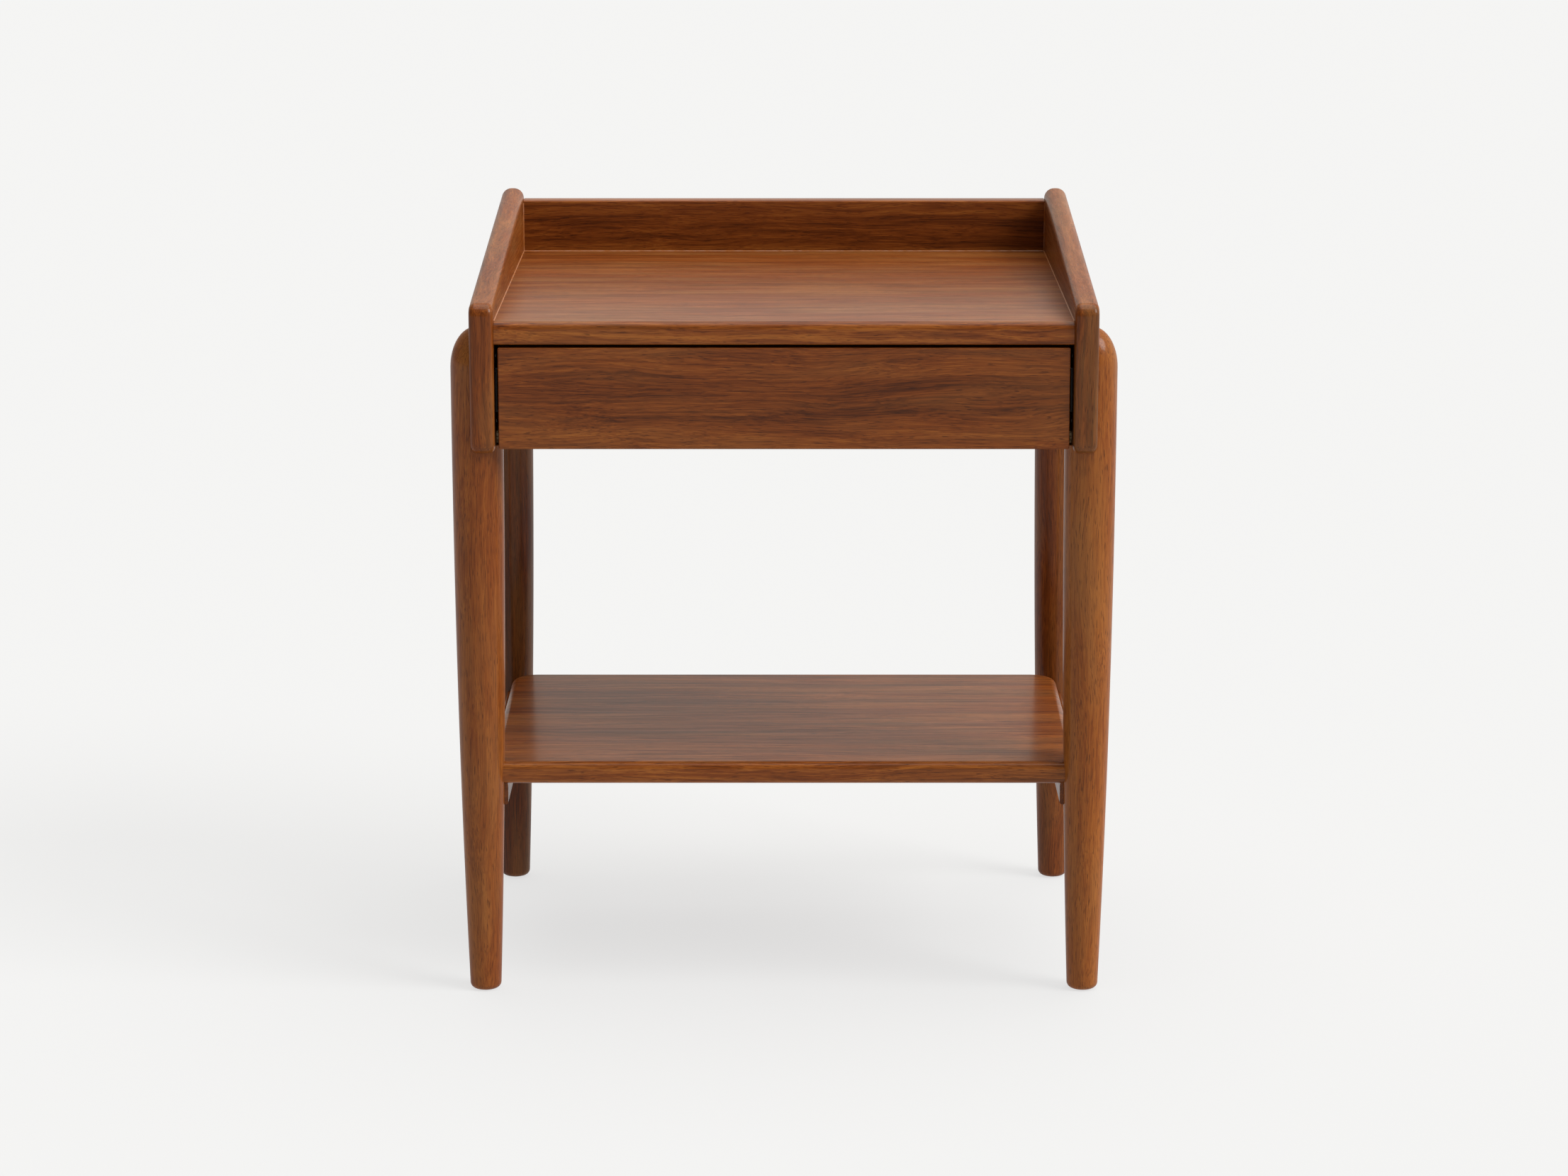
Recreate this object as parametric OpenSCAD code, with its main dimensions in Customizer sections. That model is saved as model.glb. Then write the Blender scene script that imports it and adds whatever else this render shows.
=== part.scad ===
// Side table with one drawer: four turned legs outside two raised side panels,
// a tray top with a low gallery at the back, a drawer on ball-bearing slides
// and a shelf near the floor. Millimetres, +Z up, the front faces -Y.
// The origin is on the floor, under the middle of the table.

/* [Overall] */
// Width across the legs
width = 522; // [440:1:640]
// Depth of the side panels, which is the table's depth
depth = 425; // [350:1:520]
// Height of the tabletop's upper face
top_height = 546.5; // [455:0.5:660]

/* [Side panels] */
// Thickness of a side panel
panel_t = 19; // [16:0.5:23]
// Rise of the panel above the tabletop at the front corner
rim_front = 13.5; // [11:0.5:17]
// Rise of the panel above the tabletop at the back corner
rim_back = 54.5; // [45:0.5:65]
// How far the panel reaches below the drawer face
panel_drop = 4; // [0:0.5:8]
// Radius of the panel's corners, seen from the side
panel_corner = 10; // [9:0.5:14]
// Radius that rounds the panel's edges
panel_edge = 5; // [3:0.5:7]
// The same radius at the panel's highest corner, where the edges grow together
panel_peak_edge = 8.5; // [5:0.5:8.5]
// Distance from a leg's axis out to the panel's outer face
leg_cover = 4; // [2:0.5:6]

/* [Top and back] */
// Thickness of the tabletop
top_t = 18; // [15:0.5:22]
// How far the tabletop's front edge sits behind the panels' front edges
top_setback = 4; // [2:0.5:8]
// Radius that rounds the tabletop's front edge
top_edge = 6; // [2:0.5:8]
// Thickness of the back board
back_t = 18; // [15:0.5:22]
// How far the back board sits in front of the panels' back edges
back_inset = 1; // [0:0.5:6]
// Rise of the back board above the tabletop, which makes the gallery
gallery_h = 44; // [35:0.5:52]
// Radius that eases the back board's top edges
gallery_edge = 2; // [1:0.5:4]

/* [Legs] */
// Largest radius of a leg
leg_r = 20.5; // [17:0.5:25]
// Radius of the foot
foot_r = 12.5; // [10:0.5:15]
// Radius that rounds the foot's lower edge
foot_round = 5; // [2:0.5:6]
// Height of the dome that ends the leg
dome_h = 32; // [24:1:40]
// How far the dome's tip sits below the tabletop's upper face
dome_drop = 6.5; // [3:0.5:12]
// Length of the dome's run into the straight part
belly_h = 8; // [4:1:20]
// How fast the taper swells: 1 is a straight cone
taper_power = 2.3; // [1.5:0.1:3]
// Distance from the panels' front edges back to the front legs' axes
front_overhang = 29; // [24:1:40]
// Distance from the rear legs' axes back to the panels' back edges
rear_overhang = 71; // [58:1:86]
// How much nearer to the middle the rear legs stand than the front ones
rear_inset = 4; // [0:0.5:5]

/* [Shelf] */
// Height of the shelf's upper face
shelf_height = 189; // [157:0.5:228]
// Thickness of the shelf
shelf_t = 18; // [15:0.5:22]
// How far the shelf's front edge stands in front of the front legs' axes
shelf_nose = 6; // [0:0.5:12]
// Free distance from the shelf's back edge to the rear legs' axes
shelf_back_gap = 26; // [20:0.5:36]
// Distance from the shelf's side edge out to the legs' axes
shelf_side_gap = 6; // [2:0.5:10]
// Radius of the shelf's back corners, seen from above
shelf_corner = 22; // [12:1:30]
// Radius that rounds the shelf's edges
shelf_edge = 6; // [3:0.5:7]
// Width of a shelf rail
rail_w = 20; // [16:0.5:24]
// Height of a shelf rail
rail_h = 18; // [15:0.5:24]
// How far a rail's outer face stands outside the shelf's side edge
rail_show = 6; // [3:0.5:8]

/* [Drawer] */
// Height of the drawer face
face_h = 80; // [66:0.1:96]
// Thickness of the drawer face
face_t = 18; // [15:0.5:22]
// Gap above the drawer face
face_top_gap = 2.2; // [1.5:0.1:4]
// Gap at each end of the drawer face
face_side_gap = 3; // [2:0.1:5]
// How far the drawer face sits behind the tabletop's front edge
face_setback = 1; // [0:0.5:3]
// Radius that eases the drawer face's edges
face_edge = 1; // [0.5:0.5:2]
// Height of the box's lower edge above the face's lower edge
box_rise = 14.5; // [13.5:0.5:18]
// Height of the face's upper edge above the box's upper edge
box_drop = 6.8; // [5:0.1:12]
// Thickness of the box's four walls
box_t = 12; // [10:0.5:15]
// Thickness of the drawer's bottom
drawer_bottom_t = 5; // [4:0.5:6]
// Height of the drawer's bottom above the box's lower edge
drawer_bottom_rise = 8; // [6:0.5:10]
// Depth of the grooves that hold a thin panel
groove = 5; // [4:0.5:6]
// Dovetails in each corner of the box
tails = 3; // [2:1:4]

/* [Case bottom] */
// Thickness of the case's bottom panel
bottom_t = 9; // [7:0.5:10]
// Height of the bottom panel's lower face above the drawer face's lower edge
bottom_rise = 1.5; // [1:0.5:3]
// Free depth for fingers behind the drawer face
finger_depth = 30; // [25:1:40]
// Width of the recess for fingers in the bottom's front edge
finger_w = 300; // [240:5:360]
// Radius of that recess's corners
finger_corner = 15; // [5:1:20]

/* [Drawer slides] */
// Height of a slide
slide_h = 35; // [30:0.5:40]
// Thickness of a closed slide
slide_w = 12.7; // [11.5:0.1:15]
// Thickness of the slides' sheet steel
sheet_t = 1.2; // [1:0.1:1.4]
// Diameter of the balls
ball_d = 2.8; // [2.4:0.1:3]
// Balls in each row
balls = 8; // [4:1:10]
// Step between the lengths that slides are made in
slide_step = 50; // [25:25:50]
// Least free depth behind the drawer box
slide_back_gap = 25; // [20:1:40]
// Travel that the end stops take off the slide's length
stop_loss = 20; // [10:1:40]

/* [Fixings] */
// Diameter of the wooden dowels
dowel_d = 8; // [6:1:10]
// Length of the wooden dowels
dowel_l = 30; // [24:1:36]
// Depth that a dowel enters a panel or a leg
dowel_bite = 12; // [10:1:14]
// Diameter of the leg bolts' shank
bolt_d = 6; // [5:0.5:7]
// Diameter of the leg bolts' flat head
bolt_head_d = 12; // [10:0.5:14]
// Thickness of the leg bolts' head
bolt_head_t = 2.5; // [2:0.5:4]
// Diameter of the threaded inserts in the legs
insert_d = 10; // [9:0.5:12]
// Wood left outside a threaded insert in a rear leg
insert_wall = 2.5; // [1.5:0.5:4]
// Diameter of the wood screws' shank
screw_d = 3.5; // [3:0.5:4]
// Diameter of the wood screws' head
screw_head_d = 7; // [6:0.5:8]
// Wood left between a felt foot pad and the foot's rounded edge
pad_rim = 0.6; // [0.4:0.1:1.5]
// Thickness of the felt foot pads
pad_t = 2; // [1.5:0.5:3]
// How far the foot pads stand out of the feet
pad_proud = 0.5; // [0.3:0.1:1]

/* [Clearances] */
// Free play of a thin panel in its groove
groove_play = 0.2; // [0.1:0.1:0.5]
// Gap between the closed drawer face and the case bottom behind it
face_back_gap = 2; // [1:0.5:4]
// Least gap between slide parts that move past each other
slide_gap = 0.2; // [0.15:0.05:0.4]
// Free depth beyond the end of a dowel or a screw
end_play = 1; // [0.5:0.5:2]

/* [Hidden] */
$fn = 64;
HULL_FN = 32;
TINY = 0.01;

// Places across the width
leg_x = width / 2 - leg_r;
panel_out = leg_x + leg_cover;
panel_in = panel_out - panel_t;
rear_leg_x = leg_x - rear_inset;
// Places along the depth
front_y = -depth / 2;
leg_front_y = front_y + front_overhang;
leg_rear_y = depth / 2 - rear_overhang;
top_y = front_y + top_setback;
face_y = top_y + face_setback;
face_back_y = face_y + face_t;
back_y = depth / 2 - back_inset - back_t;
// Heights
top_under = top_height - top_t;
face_top = top_under - face_top_gap;
face_bottom = face_top - face_h;
panel_bottom = face_bottom - panel_drop;
leg_top = top_height - dome_drop;
dome_z = leg_top - dome_h;
bottom_z = face_bottom + bottom_rise;
bottom_y0 = face_back_y + face_back_gap;

// Shelf and its rails
shelf_x = leg_x - shelf_side_gap;
shelf_y0 = leg_front_y - shelf_nose;
shelf_y1 = leg_rear_y - shelf_back_gap;
shelf_z = shelf_height - shelf_t;
shelf_front_corner = shelf_edge + 1;
rail_x1 = shelf_x + rail_show;
rail_x0 = rail_x1 - rail_w;
rail_mid_x = (rail_x0 + rail_x1) / 2;
rail_mid_z = shelf_z - rail_h / 2;
rail_screw_x = rail_x0 + rail_w / 4;

// Drawer box
box_x = panel_in - slide_w;
box_y0 = face_back_y;
box_z0 = face_bottom + box_rise;
box_z1 = face_top - box_drop;
box_h = box_z1 - box_z0;
slide_room = back_y - box_y0 - slide_back_gap;
slide_l = floor(slide_room / slide_step) * slide_step;
box_y1 = box_y0 + slide_l;
drawer_bottom_z = box_z0 + drawer_bottom_rise;
travel = slide_l - stop_loss;
tail_pitch = box_h / tails;
tail_half = 0.36 * tail_pitch;
tail_slope = tan(9);

// Slide cross-section, measured from the panel's inner face (s) and from
// the slide's middle height (z)
slide_z = (box_z0 + box_z1) / 2;
slide_y0 = box_y0 + 1;
slide_y1 = slide_y0 + slide_l - 2;
flange_out = slide_h / 2;
race = ball_d + 2 * slide_gap;
flange_mid = flange_out - sheet_t - race;
flange_in = flange_mid - sheet_t - race;
web_mid_s = 2.8;
web_in_s = slide_w - sheet_t;
flange_out_s = 10;
flange_mid_s = 10.4;
flange_in_s = 5.6;
ball_out_s = 6.4;
ball_in_s = 8;
ball_out_z = flange_out - sheet_t - race / 2;
ball_in_z = flange_mid - sheet_t - race / 2;
cage_w = 5;
cage_t = 1;
cage_play = 0.1;
cage_y0 = slide_y0 + travel / 4 + 6;
cage_l = slide_l - travel / 2 - 16;
ball_pitch = cage_l / balls;

// Fixings
pad_r = foot_r - foot_round - pad_rim;
slide_screw_y = [37, slide_l / 2, slide_l - 45];
slide_screw_l = 12;
slide_head_t = 1;
bolt_z = [bottom_z + bottom_t + bolt_head_d / 2 + 1.5, leg_top - 24];
insert_l = leg_r - leg_cover - rear_inset - insert_wall;
bolt_l = panel_t + insert_l - 2;
top_dowel_y = [front_y + 70, (front_y + back_y) / 2, back_y - 60];
back_dowel_z = [panel_bottom + 30, top_height + gallery_h / 2];
rail_screw_y = [leg_front_y + 60, (leg_front_y + shelf_y1) / 2, shelf_y1 - 35];
rail_screw_l = rail_h + shelf_t - 7;
face_screw_x = box_x - 60;
face_screw_z = [drawer_bottom_z + drawer_bottom_t + screw_head_d / 2 + 1.5,
                box_z1 - screw_head_d / 2 - 12];
face_screw_l = box_t + face_t - 6;

WALNUT = [0.43, 0.25, 0.15];
PALE = [0.80, 0.66, 0.47];
PLY = [0.78, 0.67, 0.50];
STEEL = [0.72, 0.73, 0.75];
BLACK = [0.08, 0.08, 0.08];

// ---- Helpers ----

// Draws its children as they are for side 1 (right) and mirrored for -1 (left)
module on_side(side) {
    if (side > 0) children();
    else mirror([1, 0, 0]) children();
}

module both_sides() {
    for (side = [-1, 1]) on_side(side) children();
}

// Extrudes a (Y, Z) outline along X
module along_x(x0, x1) {
    translate([x0, 0, 0]) rotate([90, 0, 90]) linear_extrude(x1 - x0) children();
}

// Extrudes an (X, Z) outline along Y
module along_y(y0, y1) {
    translate([0, y1, 0]) rotate([90, 0, 0]) linear_extrude(y1 - y0) children();
}

// A box between two corners
module block(low, high) {
    translate(low) cube(high - low);
}

// A cylinder along +X, +Y or -Y, or +Z that starts at a point
module rod_x(at, d, l) {
    translate(at) rotate([0, 90, 0]) cylinder(d = d, h = l);
}

module rod_y(at, d, l) {
    translate(at) rotate([-90, 0, 0]) cylinder(d = d, h = l);
}

module rod_z(at, d, l) {
    translate(at) cylinder(d = d, h = l);
}

// The points of a quarter circle of radius r round a centre, from angle a0
function quarter(centre, r, a0) = r == 0 ? [centre]
    : [for (a = [a0:15:a0 + 90]) centre + r * [cos(a), sin(a)]];

// A rectangle whose four corners have their own radii
module eased_rect(low, high, r_low_left, r_low_right, r_high_right, r_high_left) {
    polygon(concat(
        quarter(low + [r_low_left, r_low_left], r_low_left, 180),
        quarter([high.x - r_low_right, low.y + r_low_right], r_low_right, 270),
        quarter(high - [r_high_right, r_high_right], r_high_right, 0),
        quarter([low.x + r_high_left, high.y - r_high_left], r_high_left, 90)));
}

// A flat disc along +Z with rounded rims, for the corners of a board
module soft_disc(r, t, edge) {
    rotate_extrude($fn = HULL_FN) intersection() {
        union() {
            square([r - edge, t]);
            translate([0, edge]) square([r, t - 2 * edge]);
            translate([r - edge, edge]) circle(edge, $fn = HULL_FN);
            translate([r - edge, t - edge]) circle(edge, $fn = HULL_FN);
        }
        square([r, t]);
    }
}

// A wood screw along +Z: flat head below, shank up to the tip
module screw(l, head_t) {
    cylinder(d = screw_head_d, h = head_t);
    translate([0, 0, head_t - TINY]) cylinder(d = screw_d, h = l + TINY);
}

// ---- Case ----

// Where the panel's top edge is, for a corner circle at this depth
function rim_z(y) = top_height + rim_front
    + (rim_back - rim_front) * (y - front_y) / depth;

module panel_blank() {
    r = panel_corner;
    y0 = front_y + r;
    y1 = depth / 2 - r;
    thickest = panel_t / 2 - 0.5;
    edge = min(panel_edge, thickest);
    hull() {
        for (c = [[y0, panel_bottom + r, edge], [y1, panel_bottom + r, edge],
                  [y1, rim_z(y1) - r, min(panel_peak_edge, thickest)], [y0, rim_z(y0) - r, edge]])
            translate([panel_in, c[0], c[1]]) rotate([0, 90, 0])
                soft_disc(r, panel_t, c[2]);
    }
}

module side_panel(side) {
    color(WALNUT) on_side(side) difference() {
        panel_blank();
        for (y = top_dowel_y)
            rod_x([panel_in - TINY, y, top_under + top_t / 2],
                  dowel_d, dowel_bite + end_play / 2);
        for (z = back_dowel_z)
            rod_x([panel_in - TINY, back_y + back_t / 2, z],
                  dowel_d, dowel_bite + end_play / 2);
        for (y = [leg_front_y, leg_rear_y], z = bolt_z) {
            rod_x([panel_in - TINY, y, z], bolt_d, panel_t + 2 * TINY);
            rod_x([panel_in - TINY, y, z], bolt_head_d, bolt_head_t + TINY);
        }
        for (y = slide_screw_y)
            rod_x([panel_in - TINY, slide_y0 + y, slide_z],
                  screw_d, slide_screw_l + end_play / 2);
        case_bottom_room();
    }
}

// The space that the case bottom takes, with its play, for the grooves
module case_bottom_room() {
    block([-panel_in - groove, bottom_y0, bottom_z],
          [panel_in + groove, back_y + groove, bottom_z + bottom_t + groove_play]);
}

module tabletop() {
    color(WALNUT) difference() {
        along_x(-panel_in, panel_in)
            eased_rect([top_y, top_under], [back_y, top_height], top_edge / 2, 0, 0, top_edge);
        both_sides() for (y = top_dowel_y)
            rod_x([panel_in - (dowel_l - dowel_bite) - end_play / 2, y, top_under + top_t / 2],
                  dowel_d, dowel_l);
    }
}

module back_board() {
    color(WALNUT) difference() {
        along_x(-panel_in, panel_in)
            eased_rect([back_y, face_bottom], [back_y + back_t, top_height + gallery_h],
                       gallery_edge / 2, gallery_edge / 2, gallery_edge, gallery_edge);
        both_sides() for (z = back_dowel_z)
            rod_x([panel_in - (dowel_l - dowel_bite) - end_play / 2, back_y + back_t / 2, z],
                  dowel_d, dowel_l);
        case_bottom_room();
    }
}

module case_bottom() {
    side_play = groove_play / 2;
    color(PLY) difference() {
        block([-panel_in - groove + side_play, bottom_y0, bottom_z],
              [panel_in + groove - side_play, back_y + groove - side_play, bottom_z + bottom_t]);
        translate([0, 0, bottom_z - TINY]) linear_extrude(bottom_t + 2 * TINY)
            eased_rect([-finger_w / 2, bottom_y0 - 1],
                       [finger_w / 2, face_back_y + finger_depth],
                       0, 0, finger_corner, finger_corner);
    }
}

// ---- Legs ----

// Radius of the leg at a height above its foot
function taper_r(z) = foot_r + (leg_r - foot_r)
    * (1 - pow(1 - min(1, z / (dome_z - belly_h)), taper_power));

module leg_turned() {
    foot_z = pad_proud + foot_round;
    steps = 22;
    foot_arc = [for (a = [-90:15:0])
        [foot_r - foot_round + foot_round * cos(a), foot_z + foot_round * sin(a)]];
    taper = [for (i = [1:steps])
        let (z = foot_z + (dome_z - belly_h - foot_z) * i / steps)
        [taper_r(z - foot_z), z]];
    dome = [for (a = [0:7.5:82.5])
        [leg_r * cos(a), dome_z + dome_h * sin(a)]];
    rotate_extrude($fn = 96)
        polygon(concat([[0, pad_t], [pad_r, pad_t], [pad_r, pad_proud]],
                       foot_arc, taper, dome, [[0, leg_top]]));
}

// Where the axis of the leg at this depth stands across the width
function leg_x_at(y) = y < 0 ? leg_x : rear_leg_x;

// The leg is cut back to the panel's outer face, from the panel's bottom up
module leg(side, y, shelf_slot) {
    x = leg_x_at(y);
    color(WALNUT) on_side(side) difference() {
        translate([x, y, 0]) leg_turned();
        block([x - 2 * leg_r, y - 2 * leg_r, panel_bottom],
              [panel_out, y + 2 * leg_r, leg_top + 1]);
        for (z = bolt_z)
            rod_x([panel_out - TINY, y, z], insert_d, insert_l + TINY);
        if (shelf_slot)
            block([x - 2 * leg_r, shelf_y0, shelf_z],
                  [shelf_x, y + 2 * leg_r, shelf_height]);
        rail_dowel_at(y);
    }
}

// The dowel between a rail and the leg at this depth, on the right side
module rail_dowel_at(y) {
    inward = y < 0 ? 1 : -1;
    rod_y([rail_mid_x, y + inward * dowel_rest() - (inward > 0 ? 0 : dowel_l), rail_mid_z],
          dowel_d, dowel_l);
}

// How far from the leg's axis a rail dowel starts
function dowel_rest() = foot_r / 2;

module leg_bolts() {
    color(STEEL) both_sides()
        for (y = [leg_front_y, leg_rear_y], z = bolt_z) {
            difference() {
                rod_x([panel_in, y, z], bolt_head_d, bolt_head_t);
                translate([panel_in - TINY, y, z]) rotate([0, 90, 0])
                    cylinder(d = bolt_d / 2 + 1, h = bolt_head_t - 0.5, $fn = 6);
            }
            rod_x([panel_in + bolt_head_t - TINY, y, z], bolt_d, bolt_l - bolt_head_t);
        }
}

module leg_inserts() {
    color(STEEL) both_sides()
        for (y = [leg_front_y, leg_rear_y], z = bolt_z)
            difference() {
                rod_x([panel_out, y, z], insert_d, insert_l);
                rod_x([panel_out - TINY, y, z], bolt_d, insert_l + 2 * TINY);
            }
}

// ---- Shelf ----

module shelf() {
    color(WALNUT) difference() {
        hull() {
            both_sides() {
                translate([shelf_x - shelf_corner, shelf_y1 - shelf_corner, shelf_z])
                    soft_disc(shelf_corner, shelf_t, shelf_edge);
                translate([shelf_x - shelf_front_corner, shelf_y0 + shelf_front_corner, shelf_z])
                    soft_disc(shelf_front_corner, shelf_t, shelf_edge);
            }
        }
        both_sides() for (y = rail_screw_y)
            rod_z([rail_screw_x, y, shelf_z - TINY], screw_d, rail_screw_l - rail_h + end_play);
    }
}

module shelf_rail(side) {
    color(WALNUT) on_side(side) difference() {
        along_y(leg_front_y, leg_rear_y)
            eased_rect([rail_x0, shelf_z - rail_h], [rail_x1, shelf_z], 2, 2, 0, 0);
        for (y = [leg_front_y, leg_rear_y]) {
            translate([leg_x_at(y), y, 0]) leg_turned();
            rail_dowel_at(y);
        }
        for (y = rail_screw_y) {
            rod_z([rail_screw_x, y, shelf_z - rail_h - TINY], screw_d, rail_h + 2 * TINY);
            rod_z([rail_screw_x, y, shelf_z - rail_h - TINY], screw_head_d, 2 + TINY);
        }
    }
}

module shelf_screws() {
    color(STEEL) both_sides() for (y = rail_screw_y)
        translate([rail_screw_x, y, shelf_z - rail_h]) screw(rail_screw_l - 2, 2);
}

// ---- Drawer ----

module drawer_face() {
    x = panel_in - face_side_gap;
    color(WALNUT) difference() {
        along_x(-x, x)
            eased_rect([face_y, face_bottom], [face_back_y, face_top],
                       face_edge, face_edge, face_edge, face_edge);
        both_sides() for (z = face_screw_z)
            rod_y([face_screw_x, box_y0 - (face_screw_l - box_t) - end_play, z],
                  screw_d, face_screw_l);
    }
}

// The tails of one side board at its front end, on the right side
module tails_front() {
    for (i = [0:tails - 1]) {
        z = box_z0 + tail_pitch * (i + 0.5);
        narrow = tail_half - box_t * tail_slope;
        along_x(box_x - box_t, box_x) polygon([
            [box_y0, z - tail_half], [box_y0 + box_t, z - narrow],
            [box_y0 + box_t, z + narrow], [box_y0, z + tail_half]]);
    }
}

module tails_back() {
    translate([0, box_y0 + box_y1, 0]) mirror([0, 1, 0]) tails_front();
}

// The space that the drawer's bottom takes, for the grooves around it
module drawer_bottom_room() {
    block([-(box_x - box_t) - groove, box_y0 + box_t - groove, drawer_bottom_z],
          [box_x - box_t + groove, box_y1 - box_t + groove,
           drawer_bottom_z + drawer_bottom_t + groove_play]);
}

module drawer_box_front() {
    color(PALE) difference() {
        block([-box_x, box_y0, box_z0], [box_x, box_y0 + box_t, box_z1]);
        both_sides() tails_front();
        drawer_bottom_room();
        both_sides() for (z = face_screw_z)
            rod_y([face_screw_x, box_y0 - TINY, z], screw_d, box_t + 2 * TINY);
    }
}

module drawer_box_back() {
    color(PALE) difference() {
        block([-box_x, box_y1 - box_t, box_z0], [box_x, box_y1, box_z1]);
        both_sides() tails_back();
        drawer_bottom_room();
    }
}

module drawer_side(side) {
    color(PALE) on_side(side) difference() {
        union() {
            block([box_x - box_t, box_y0 + box_t, box_z0], [box_x, box_y1 - box_t, box_z1]);
            tails_front();
            tails_back();
        }
        drawer_bottom_room();
        for (y = slide_screw_y)
            rod_x([box_x - slide_screw_l + sheet_t, slide_y0 + y, slide_z],
                  screw_d, slide_screw_l);
    }
}

module drawer_bottom() {
    play = groove_play / 2;
    x = box_x - box_t + groove - play;
    color(PLY)
        block([-x, box_y0 + box_t - groove + play, drawer_bottom_z],
              [x, box_y1 - box_t + groove - play, drawer_bottom_z + drawer_bottom_t]);
}

module drawer_face_screws() {
    head_t = 2;
    color(STEEL) both_sides() for (z = face_screw_z)
        translate([face_screw_x, box_y0 + box_t + head_t, z]) rotate([90, 0, 0])
            screw(face_screw_l - end_play, head_t);
}

// ---- Slides ----

// A channel of sheet steel: its web stands at web_s, its flanges run from
// s0 to s1 at the half height half_z
module channel(web_s, s0, s1, half_z) {
    along_y(slide_y0, slide_y1) translate([panel_in, slide_z]) mirror([1, 0]) {
        translate([web_s, -half_z]) square([sheet_t, 2 * half_z]);
        for (z = [-half_z, half_z - sheet_t])
            translate([s0, z]) square([s1 - s0, sheet_t]);
    }
}

module slide_cabinet_member(side) {
    color(BLACK) on_side(side) difference() {
        channel(0, 0, flange_out_s, flange_out);
        for (y = slide_screw_y)
            rod_x([panel_in - sheet_t - TINY, slide_y0 + y, slide_z],
                  screw_d, sheet_t + 2 * TINY);
    }
}

module slide_middle_member(side) {
    color(BLACK) on_side(side)
        channel(web_mid_s, web_mid_s, flange_mid_s, flange_mid);
}

module slide_drawer_member(side) {
    color(BLACK) on_side(side) difference() {
        channel(web_in_s, flange_in_s, slide_w, flange_in);
        for (y = slide_screw_y)
            rod_x([box_x - TINY, slide_y0 + y, slide_z], screw_d, sheet_t + 2 * TINY);
    }
}

// Two rows of balls, above and below, each in its strip
module ball_cage(side, s, row_z) {
    color(STEEL) on_side(side) for (up = [-1, 1])
        translate([panel_in - s, cage_y0, slide_z + up * row_z]) {
            difference() {
                translate([-cage_w / 2, 0, -cage_t / 2]) cube([cage_w, cage_l, cage_t]);
                for (i = [0:balls - 1])
                    translate([0, ball_pitch * (i + 0.5), -cage_t])
                        cylinder(d = ball_d + 2 * cage_play, h = 2 * cage_t);
            }
            for (i = [0:balls - 1])
                translate([0, ball_pitch * (i + 0.5), 0]) sphere(d = ball_d);
        }
}

module slide_outer_cage(side) {
    ball_cage(side, ball_out_s, ball_out_z);
}

module slide_inner_cage(side) {
    ball_cage(side, ball_in_s, ball_in_z);
}

module cabinet_slide_screws() {
    color(STEEL) both_sides() for (y = slide_screw_y)
        translate([panel_in - sheet_t - slide_head_t, slide_y0 + y, slide_z])
            rotate([0, 90, 0]) screw(slide_screw_l, slide_head_t);
}

module drawer_slide_screws() {
    color(STEEL) both_sides() for (y = slide_screw_y)
        translate([box_x + sheet_t + slide_head_t, slide_y0 + y, slide_z])
            rotate([0, -90, 0]) screw(slide_screw_l - end_play, slide_head_t);
}

// ---- Dowels and pads ----

module top_dowels() {
    color(PALE) both_sides() for (y = top_dowel_y)
        rod_x([panel_in - (dowel_l - dowel_bite), y, top_under + top_t / 2],
              dowel_d, dowel_l);
}

module back_dowels() {
    color(PALE) both_sides() for (z = back_dowel_z)
        rod_x([panel_in - (dowel_l - dowel_bite), back_y + back_t / 2, z],
              dowel_d, dowel_l);
}

module rail_dowels() {
    color(PALE) both_sides() for (y = [leg_front_y, leg_rear_y]) rail_dowel_at(y);
}

module foot_pads() {
    color(BLACK) both_sides() for (y = [leg_front_y, leg_rear_y])
        rod_z([leg_x_at(y), y, 0], 2 * pad_r, pad_t);
}

side_panel(-1);  // left_side_panel
side_panel(1);  // right_side_panel
tabletop();
back_board();
case_bottom();
leg(-1, leg_front_y, true);  // front_left_leg
leg(1, leg_front_y, true);  // front_right_leg
leg(-1, leg_rear_y, false);  // rear_left_leg
leg(1, leg_rear_y, false);  // rear_right_leg
shelf();
shelf_rail(-1);  // left_shelf_rail
shelf_rail(1);  // right_shelf_rail
drawer_face();
drawer_box_front();
drawer_box_back();
drawer_side(-1);  // drawer_left_side
drawer_side(1);  // drawer_right_side
drawer_bottom();
slide_cabinet_member(-1);  // left_slide_cabinet_member
slide_middle_member(-1);  // left_slide_middle_member
slide_drawer_member(-1);  // left_slide_drawer_member
slide_outer_cage(-1);  // left_slide_outer_cage
slide_inner_cage(-1);  // left_slide_inner_cage
slide_cabinet_member(1);  // right_slide_cabinet_member
slide_middle_member(1);  // right_slide_middle_member
slide_drawer_member(1);  // right_slide_drawer_member
slide_outer_cage(1);  // right_slide_outer_cage
slide_inner_cage(1);  // right_slide_inner_cage
cabinet_slide_screws();
drawer_slide_screws();
drawer_face_screws();
leg_bolts();
leg_inserts();
top_dowels();
back_dowels();
rail_dowels();
shelf_screws();
foot_pads();
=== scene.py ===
"""Side table with one drawer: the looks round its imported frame.

Every length is in metres, +Z is up and the front faces -Y, as in the frame.
"""

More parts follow.
